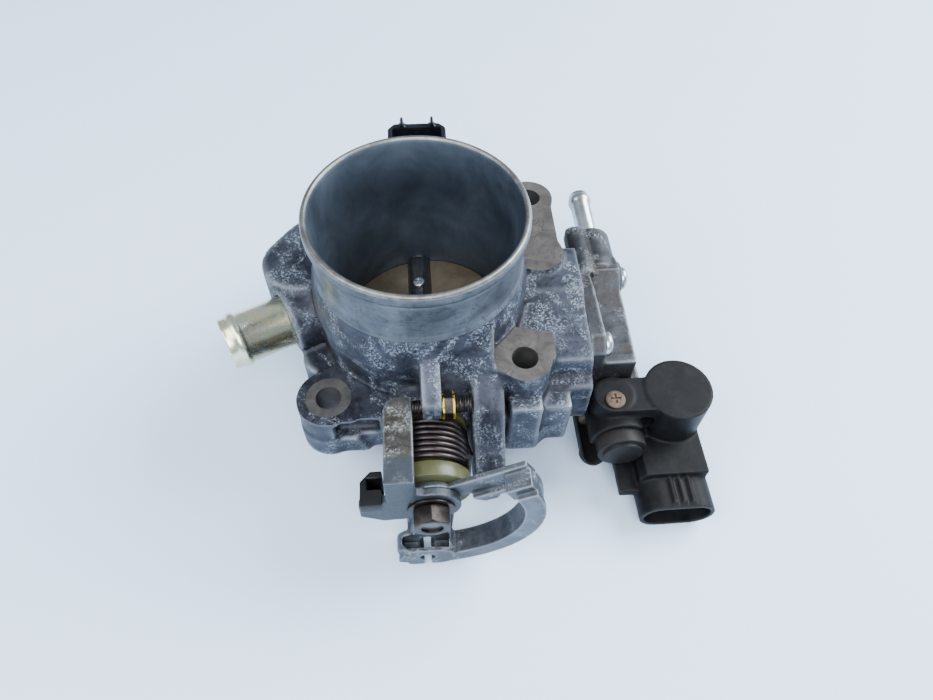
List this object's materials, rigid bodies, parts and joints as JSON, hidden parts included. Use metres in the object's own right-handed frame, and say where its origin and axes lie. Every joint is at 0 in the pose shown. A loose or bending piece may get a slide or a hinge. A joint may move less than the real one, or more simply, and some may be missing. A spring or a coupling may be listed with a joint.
{
  "type": "throttle body",
  "caption": "Cable-operated throttle body with a flared round inlet, sprung cable cam, idle air valve, position sensor, air pipe and coolant nipple.",
  "frame": {"origin": "bore axis on the outlet flange face", "axes": "+Z along the bore towards the inlet, +Y along the throttle shaft away from the cable cam, +X towards the idle air valve"},
  "size_m": [0.1706, 0.14, 0.0932],
  "materials": {
    "cast_aluminium": "die-cast, oxidised and mottled",
    "cast_idle_housing": "die-cast, oxidised",
    "linkage_metal": "cast, oxidised tan in places",
    "zinc_pipe": "yellow zinc plated",
    "bright_steel": "bright plated",
    "dark_steel": "dark oxidised",
    "brown_steel": "brown patina",
    "rusty_steel": "rusted",
    "plate_brass": "dull tan",
    "nylon": "olive nylon",
    "black_plastic": "moulded, satin",
    "rubber_seal": "matte",
    "copper": "enamelled winding",
    "contact_metal": "tinned contact",
    "bronze": "sintered"
  },
  "bodies": {
    "housing": {"throttle_housing": "cast_aluminium", "air_pipe": "zinc_pipe", "front_bearing": "bronze", "rear_bearing": "bronze", "front_shaft_seal": "rubber_seal", "rear_shaft_seal": "rubber_seal", "idle_stop_screw": "brown_steel", "stop_screw_locknut": "brown_steel", "rear_spring_collar": "nylon", "return_spring": "dark_steel", "idle_valve_housing": "cast_idle_housing", "idle_valve_gasket": "rubber_seal", "idle_housing_screws": "bright_steel", "coolant_nipple": "bright_steel", "coolant_core_plug": "bright_steel", "idle_actuator_body": "black_plastic", "actuator_end_cap": "black_plastic", "actuator_seal_ring": "rubber_seal", "actuator_screws": "rusty_steel", "actuator_coil": "copper", "actuator_base_cover": "black_plastic", "actuator_terminals": "contact_metal", "idle_valve_bush": "bronze", "position_sensor_body": "black_plastic", "position_sensor_seal": "rubber_seal", "position_sensor_screws": "bright_steel", "position_sensor_terminals": "contact_metal"},
    "throttle": {"throttle_shaft": "dark_steel", "throttle_plate": "plate_brass", "plate_screws": "bright_steel", "front_spring_collar": "nylon", "throttle_cam": "linkage_metal", "stop_lever": "linkage_metal", "lever_bumper": "black_plastic", "shaft_washer": "brown_steel", "shaft_nut": "brown_steel", "position_sensor_rotor": "nylon"},
    "idle_rotor": {"idle_valve_rotor": "bright_steel", "idle_rotor_magnet": "dark_steel"}
  },
  "joints": [
    {"name": "throttle_turn", "type": "hinge", "parent": "housing", "child": "throttle", "pos_m": [0, 0, 0.014], "axis": [0, -1, 0], "range_deg": [0, 83], "stiffness_Nm_per_rad": 0.2, "springref_deg": -57.3, "deforming": ["return_spring"]},
    {"name": "idle_valve_turn", "type": "hinge", "parent": "housing", "child": "idle_rotor", "pos_m": [0.0675, -0.01, -0.001], "axis": [0, -1, 0], "range_deg": [0, 60]}
  ]
}
